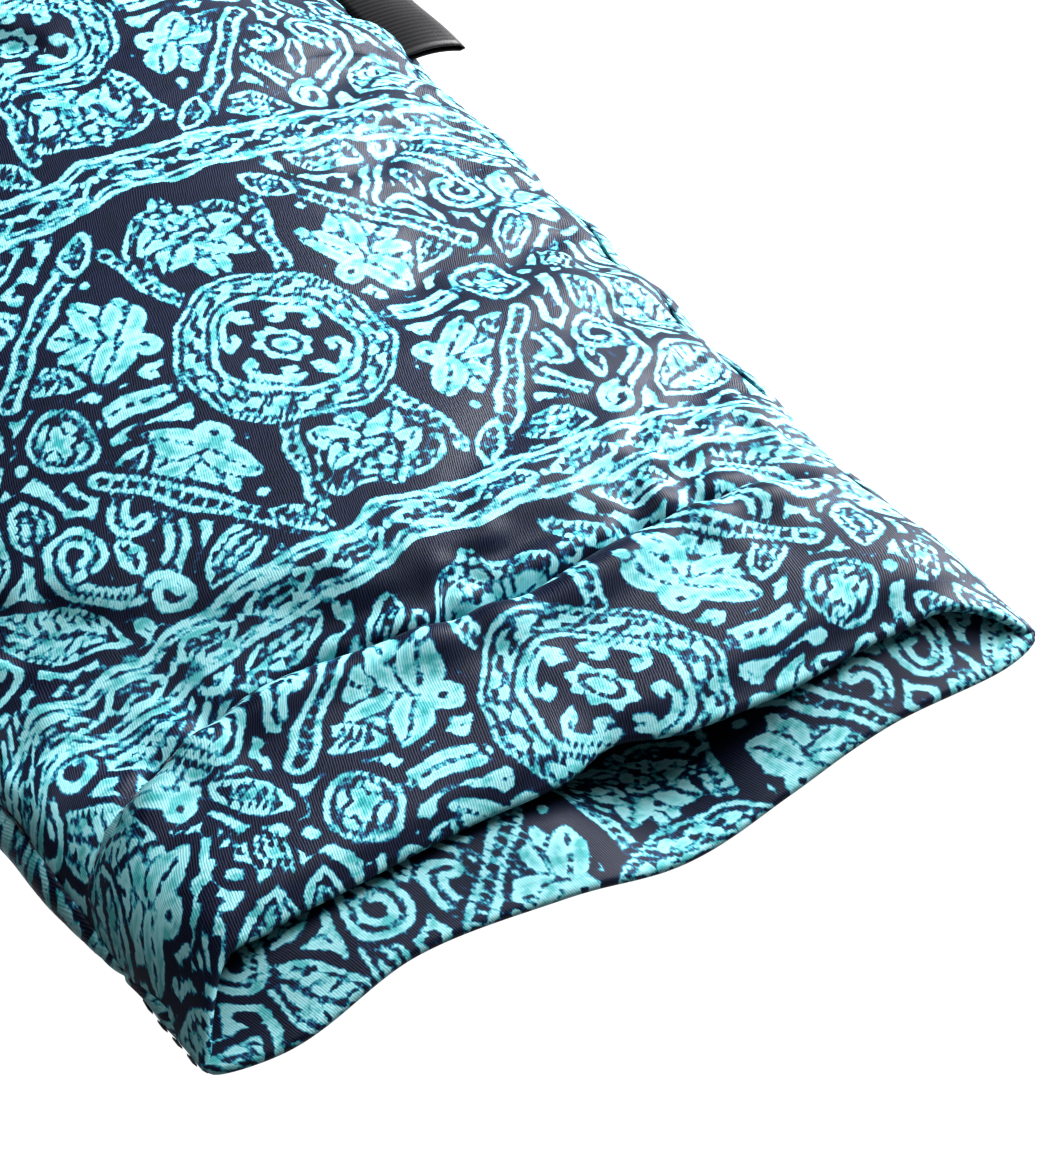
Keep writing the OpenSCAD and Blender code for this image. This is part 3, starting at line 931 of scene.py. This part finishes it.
def cotton_material():
    material = bpy.data.materials.new("unbleached cotton")
    material.use_nodes = True
    nodes, links = material.node_tree.nodes, material.node_tree.links
    shader = nodes["Principled BSDF"]
    shader.inputs["Roughness"].default_value = 0.9
    shader.inputs["Sheen Weight"].default_value = 0.15
    flat = nodes.new("ShaderNodeUVMap")
    flat.uv_map = "cloth"
    weaves = []
    for direction in ("X", "Y"):
        weave = nodes.new("ShaderNodeTexWave")
        weave.bands_direction = direction
        weave.inputs["Scale"].default_value = 75
        weave.inputs["Distortion"].default_value = 0.8
        weave.inputs["Detail Scale"].default_value = 2.0
        links.new(flat.outputs["UV"], weave.inputs["Vector"])
        weaves.append(weave.outputs["Fac"])
    crossing = nodes.new("ShaderNodeMath")
    crossing.operation = "MULTIPLY"
    links.new(weaves[0], crossing.inputs[0])
    links.new(weaves[1], crossing.inputs[1])
    slubs = nodes.new("ShaderNodeTexNoise")
    slubs.inputs["Scale"].default_value = 60
    slubs.inputs["Detail"].default_value = 3
    links.new(flat.outputs["UV"], slubs.inputs["Vector"])
    shade = nodes.new("ShaderNodeMath")
    shade.operation = "MULTIPLY_ADD"
    shade.inputs[1].default_value = 0.45
    links.new(crossing.outputs["Value"], shade.inputs[0])
    links.new(slubs.outputs["Fac"], shade.inputs[2])
    tint = nodes.new("ShaderNodeValToRGB")
    tint.color_ramp.elements[0].position = 0.3
    tint.color_ramp.elements[0].color = (0.52, 0.45, 0.33, 1)
    tint.color_ramp.elements[1].position = 0.95
    tint.color_ramp.elements[1].color = (0.68, 0.62, 0.50, 1)
    links.new(shade.outputs["Value"], tint.inputs["Fac"])
    links.new(tint.outputs["Color"], shader.inputs["Base Color"])
    relief = nodes.new("ShaderNodeBump")
    relief.inputs["Strength"].default_value = 0.5
    relief.inputs["Distance"].default_value = 0.15 * mm
    links.new(crossing.outputs["Value"], relief.inputs["Height"])
    links.new(relief.outputs["Normal"], shader.inputs["Normal"])
    return material


cotton = cotton_material()
pouch_rows = np.linspace(0.01, 200, 170)


def pouch_panel(name, shape, outward, node):
    grid, out = cloth_panel(shape, outward, pouch_rows, 90, pouch_length, 0.0, 0.02)
    grid = grid + settled(grid, pouch_rows, 0.04, 0.7, 1.5, 0.0, outward)
    piece = woven_panel(name, grid, out, pouch_rows, lambda v: False, 3, False)
    piece.data.materials.append(cotton)
    piece.data.materials.append(cotton)
    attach(piece, "inner_pillow")
    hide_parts(node)
    return piece, grid


pouch_top, top_grid = pouch_panel("inner_pillow_top", pouch_top_shape, 1, "inner_front_panel")
pouch_under, _ = pouch_panel("inner_pillow_underside", pouch_under_shape, -1,
                             "inner_back_panel")

lining_thread = thread_material("lining thread", (0.62, 0.55, 0.42))
rim_line = np.concatenate([top_grid[0, 68:], top_grid[1:, -1], top_grid[-1, ::-1],
                           top_grid[::-1, 0], top_grid[0, :22]])
pouch_seam_row = stitches("inner_seam_stitches", rim_line + np.array([0, 0, -0.1]),
                          lining_thread, 2.4, 0.3)
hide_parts("inner_seam_stitching")
closing_row = stitches("closing_stitches", top_grid[0, 24:66] + np.array([0.1, 0, -0.1]),
                       lining_thread, 1.9, 0.4)
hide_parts("inner_closing_stitching")
for row in (pouch_seam_row, closing_row):
    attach(row, "inner_pillow")

# ---- Seed filling ----
# Loose flax seed, drawn without the dried lavender mixed in with it. It settles flat underneath and
# heaps up to the crown.
seed_inset = 0.75
seeds = np.random.default_rng(7)
seed_rows = 150
seed_columns = 76


def seed_skin(shape, outward):
    grid, out = cloth_panel(shape, outward, np.linspace(0.01, 200, seed_rows), seed_columns,
                            pouch_length, 0.0, 0.02)
    middle = grid.mean(axis=(0, 1))
    grid = middle + (grid - middle) * np.array([0.98, 0.955, 1.0])
    heap = np.zeros((seed_rows, seed_columns))
    rows, columns = np.mgrid[0:seed_rows, 0:seed_columns]
    for row in range(0, seed_rows, 3):
        for column in range(0, seed_columns, 2):
            i, j = row + seeds.uniform(-1, 1), column + seeds.uniform(-0.7, 0.7)
            patch = (slice(max(0, row - 3), row + 4), slice(max(0, column - 2), column + 3))
            near = ((rows[patch] - i) / 1.9) ** 2 + ((columns[patch] - j) / 1.2) ** 2
            heap[patch] = np.maximum(heap[patch], np.sqrt(np.clip(1 - near, 0, 1)))
    inset = seed_inset - 0.35 * heap
    edge = np.minimum.reduce([rows, seed_rows - 1 - rows, columns, seed_columns - 1 - columns])
    inset = inset * np.clip(edge / 4.0, 0, 1)
    grid[..., 2] -= outward * inset
    return grid


seed_bm = bmesh.new()
for skin in (seed_skin(pouch_top_shape, 1), seed_skin(pouch_under_shape, -1)):
    start = len(seed_bm.verts)
    bmesh.ops.create_grid(seed_bm, x_segments=seed_columns - 1, y_segments=seed_rows - 1, size=1)
    seed_bm.verts.ensure_lookup_table()
    for vert, place in zip(seed_bm.verts[start:], skin.reshape(-1, 3) * mm):
        vert.co = place
bmesh.ops.remove_doubles(seed_bm, verts=seed_bm.verts, dist=0.08 * mm)
bmesh.ops.recalc_face_normals(seed_bm, faces=seed_bm.faces)
seed_mesh = bpy.data.meshes.new("seed_filling")
seed_bm.to_mesh(seed_mesh)
seed_bm.free()
seed_mesh.polygons.foreach_set("use_smooth", np.ones(len(seed_mesh.polygons), bool))
filling = bpy.data.objects.new("seed_filling", seed_mesh)
bpy.context.collection.objects.link(filling)
flax = bpy.data.materials.new("flax seed")
flax.use_nodes = True
flax_nodes, flax_links = flax.node_tree.nodes, flax.node_tree.links
flax_shader = flax_nodes["Principled BSDF"]
flax_shader.inputs["Roughness"].default_value = 0.35
flax_place = flax_nodes.new("ShaderNodeTexCoord")
flax_cells = flax_nodes.new("ShaderNodeTexVoronoi")
flax_cells.inputs["Scale"].default_value = 420
flax_tint = flax_nodes.new("ShaderNodeValToRGB")
flax_tint.color_ramp.elements[0].color = (0.10, 0.042, 0.015, 1)
flax_tint.color_ramp.elements[1].color = (0.30, 0.15, 0.06, 1)
flax_bump = flax_nodes.new("ShaderNodeBump")
flax_bump.invert = True
flax_bump.inputs["Distance"].default_value = 0.4 * mm
flax_links.new(flax_place.outputs["Object"], flax_cells.inputs["Vector"])
flax_links.new(flax_cells.outputs["Color"], flax_tint.inputs["Fac"])
flax_links.new(flax_tint.outputs["Color"], flax_shader.inputs["Base Color"])
flax_links.new(flax_cells.outputs["Distance"], flax_bump.inputs["Height"])
flax_links.new(flax_bump.outputs["Normal"], flax_shader.inputs["Normal"])
seed_mesh.materials.append(flax)
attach(filling, "inner_pillow")
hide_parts("seed_fill")
